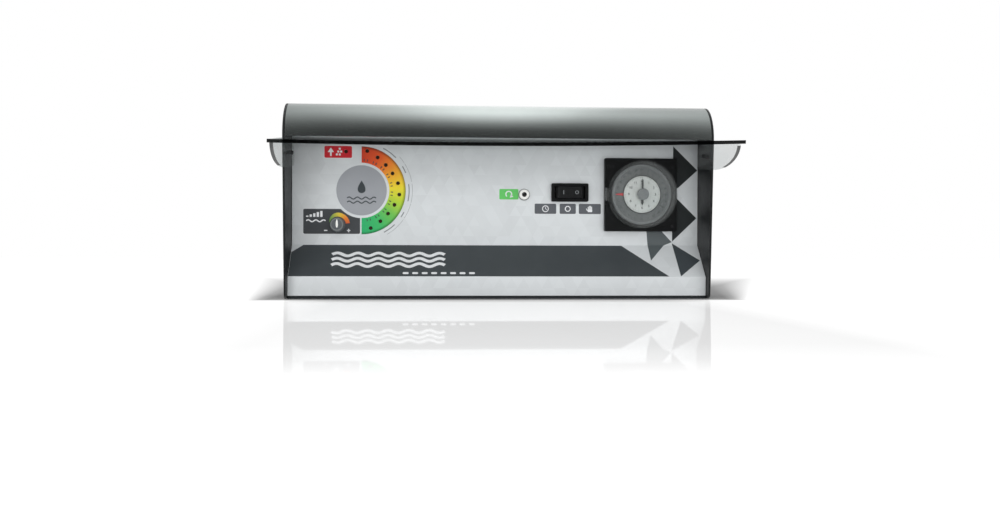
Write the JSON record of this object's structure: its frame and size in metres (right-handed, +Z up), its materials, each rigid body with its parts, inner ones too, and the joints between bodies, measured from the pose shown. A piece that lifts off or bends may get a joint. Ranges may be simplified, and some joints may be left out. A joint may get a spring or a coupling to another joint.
{
  "type": "salt chlorine generator",
  "caption": "Control unit of a pool salt chlorinator: barrel-topped case with an output gauge and knob, reset, mode rocker and clock timer under a clear flip lid.",
  "frame": {"origin": "on the underside of the base, at half the case's width, in the plane of the control panel's face", "axes": "+X to the unit's right as its user faces it, +Y back towards the wall, +Z up"},
  "size_m": [0.404, 0.2283, 0.1852],
  "materials": {
    "hood_paint": "satin charcoal powder coat",
    "cap_plastic": "black moulded plastic, fine texture",
    "case_sheet": "black powder coat",
    "panel_silver": "silver grey printed overlay, satin",
    "lid_clear": "clear smoke-tinted polycarbonate",
    "steel": "zinc plated",
    "knob_grey": "satin",
    "collar_white": "gloss",
    "button_black": "satin",
    "timer_black": "semi-gloss moulding",
    "timer_clear": "clear",
    "dial_grey": "satin grey moulding",
    "clock_white": "satin white, printed",
    "hand_black": "satin",
    "hub_grey": "satin",
    "pointer_red": "gloss",
    "led_lens": "unlit lens",
    "circuit_board": "green solder mask",
    "brass": "turned",
    "transformer_winding": "varnished copper winding on a steel core",
    "heatsink_aluminium": "extruded",
    "component_black": "moulded",
    "terminal_nylon": "nylon",
    "gland_black": "nylon"
  },
  "bodies": {
    "case": {"back_panel": "case_sheet", "base_panel": "case_sheet", "board_standoff_1": "brass", "board_standoff_2": "brass", "board_standoff_3": "brass", "board_standoff_4": "brass", "breaker_body": "component_black", "case_screw_left_1": "steel", "case_screw_left_2": "steel", "case_screw_right_1": "steel", "case_screw_right_2": "steel", "cell_gland": "gland_black", "cell_gland_nut": "gland_black", "control_board": "circuit_board", "end_cap_left": "cap_plastic", "end_cap_right": "cap_plastic", "front_panel": "panel_silver", "gauge_led_1": "led_lens", "gauge_led_10": "led_lens", "gauge_led_2": "led_lens", "gauge_led_3": "led_lens", "gauge_led_4": "led_lens", "gauge_led_5": "led_lens", "gauge_led_6": "led_lens", "gauge_led_7": "led_lens", "gauge_led_8": "led_lens", "gauge_led_9": "led_lens", "heatsink": "heatsink_aluminium", "high_salt_led": "led_lens", "hood": "hood_paint", "lid_pin_left": "steel", "lid_pin_right": "steel", "mains_gland": "gland_black", "mains_gland_nut": "gland_black", "potentiometer": "component_black", "pump_outlet": "gland_black", "rectifier": "component_black", "reset_collar": "collar_white", "switch_bezel": "timer_black", "switch_body": "component_black", "terminal_block": "terminal_nylon", "timer_bezel": "timer_black", "timer_body": "timer_black", "timer_clock_face": "clock_white", "timer_cover_pin": "steel", "timer_pointer": "pointer_red", "transformer": "transformer_winding", "transformer_bolt": "steel", "transformer_clamp": "steel"},
    "lid": {"lid": "lid_clear"},
    "knob": {"control_knob": "knob_grey", "knob_shaft": "steel"},
    "reset_button": {"reset_button": "button_black"},
    "rocker": {"switch_rocker": "button_black"},
    "timer_cover": {"timer_cover": "timer_clear"},
    "day_dial": {"timer_dial": "dial_grey"},
    "hour_hand": {"hour_hand": "hand_black"},
    "minute_hand": {"minute_hand": "hand_black", "timer_hub": "hub_grey"}
  },
  "joints": [
    {"name": "lid_hinge", "type": "hinge", "parent": "case", "child": "lid", "pos_m": [0, -0.0365, 0.1367], "axis": [1, 0, 0], "range_deg": [0, 87.1]},
    {"name": "knob_turn", "type": "hinge", "parent": "case", "child": "knob", "pos_m": [-0.1558, 0, 0.0707], "axis": [0, 1, 0], "range_deg": [-140, 140]},
    {"name": "reset_press", "type": "slide", "parent": "case", "child": "reset_button", "axis": [0, 1, 0], "range_m": [0, 0.002], "stiffness_N_per_m": 500, "springref_m": -0.002},
    {"name": "rocker_tilt", "type": "hinge", "parent": "case", "child": "rocker", "pos_m": [0.0712, 0.002, 0.1033], "axis": [0, 0, 1], "range_deg": [-10, 10]},
    {"name": "timer_cover_hinge", "type": "hinge", "parent": "case", "child": "timer_cover", "pos_m": [0.1063, -0.009, 0.1013], "axis": [0, 0, 1], "range_deg": [-110, 0]},
    {"name": "dial_turn", "type": "hinge", "parent": "case", "child": "day_dial", "pos_m": [0.1413, 0, 0.1013], "axis": [0, 1, 0], "continuous": true},
    {"name": "hour_hand_turn", "type": "hinge", "parent": "case", "child": "hour_hand", "pos_m": [0.1413, 0, 0.1013], "axis": [0, 1, 0], "continuous": true},
    {"name": "minute_hand_turn", "type": "hinge", "parent": "case", "child": "minute_hand", "pos_m": [0.1413, 0, 0.1013], "axis": [0, 1, 0], "continuous": true}
  ],
  "couplings": [
    {"joint": "hour_hand_turn", "follows": "dial_turn", "ratio": 2},
    {"joint": "minute_hand_turn", "follows": "dial_turn", "ratio": 24}
  ]
}
